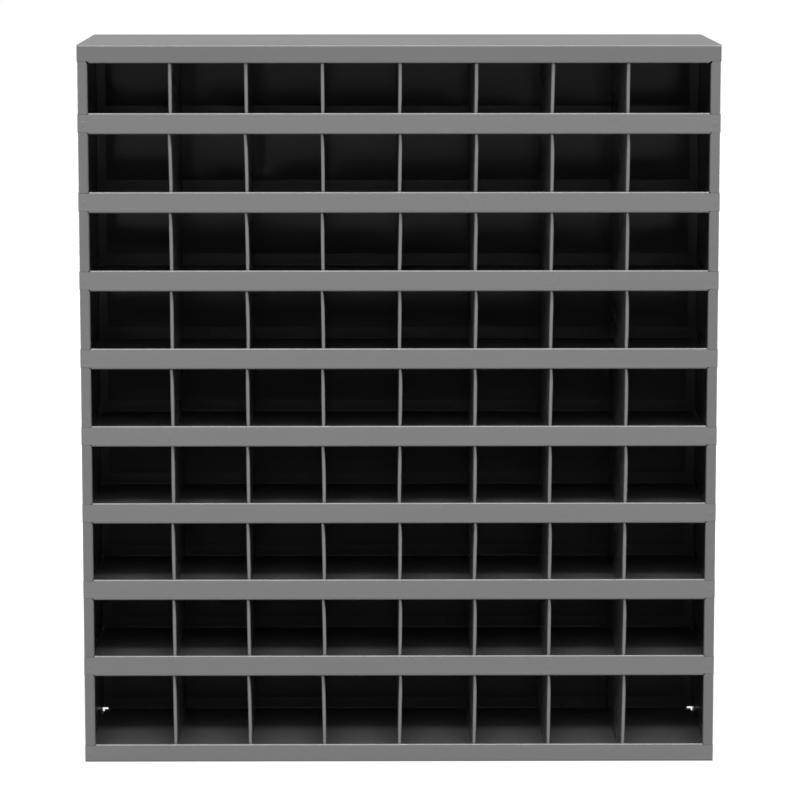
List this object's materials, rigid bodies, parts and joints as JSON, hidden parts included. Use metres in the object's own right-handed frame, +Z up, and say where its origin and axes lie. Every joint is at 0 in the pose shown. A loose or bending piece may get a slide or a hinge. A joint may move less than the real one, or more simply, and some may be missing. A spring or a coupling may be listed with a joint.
{
  "type": "steel pigeonhole bin unit",
  "caption": "Free-standing open-fronted sheet-steel bin unit: a welded case with lipped shelves and upright dividers that make a grid of small bins.",
  "frame": {"origin": "middle of the base, on the floor", "axes": "+Z up, the open front faces -Y, +X to the right of someone facing the front"},
  "size_m": [0.86, 0.305, 0.98],
  "materials": {
    "grey_paint": "satin grey baked enamel on steel sheet"
  },
  "bodies": {
    "root": {"left_side_panel": "grey_paint", "right_side_panel": "grey_paint", "top_panel": "grey_paint", "back_panel": "grey_paint", "bottom_shelf": "grey_paint", "shelf_1": "grey_paint", "shelf_2": "grey_paint", "shelf_3": "grey_paint", "shelf_4": "grey_paint", "shelf_5": "grey_paint", "shelf_6": "grey_paint", "shelf_7": "grey_paint", "shelf_8": "grey_paint", "dividers_row_1": "grey_paint", "dividers_row_2": "grey_paint", "dividers_row_3": "grey_paint", "dividers_row_4": "grey_paint", "dividers_row_5": "grey_paint", "dividers_row_6": "grey_paint", "dividers_row_7": "grey_paint", "dividers_row_8": "grey_paint", "dividers_row_9": "grey_paint"}
  },
  "joints": []
}
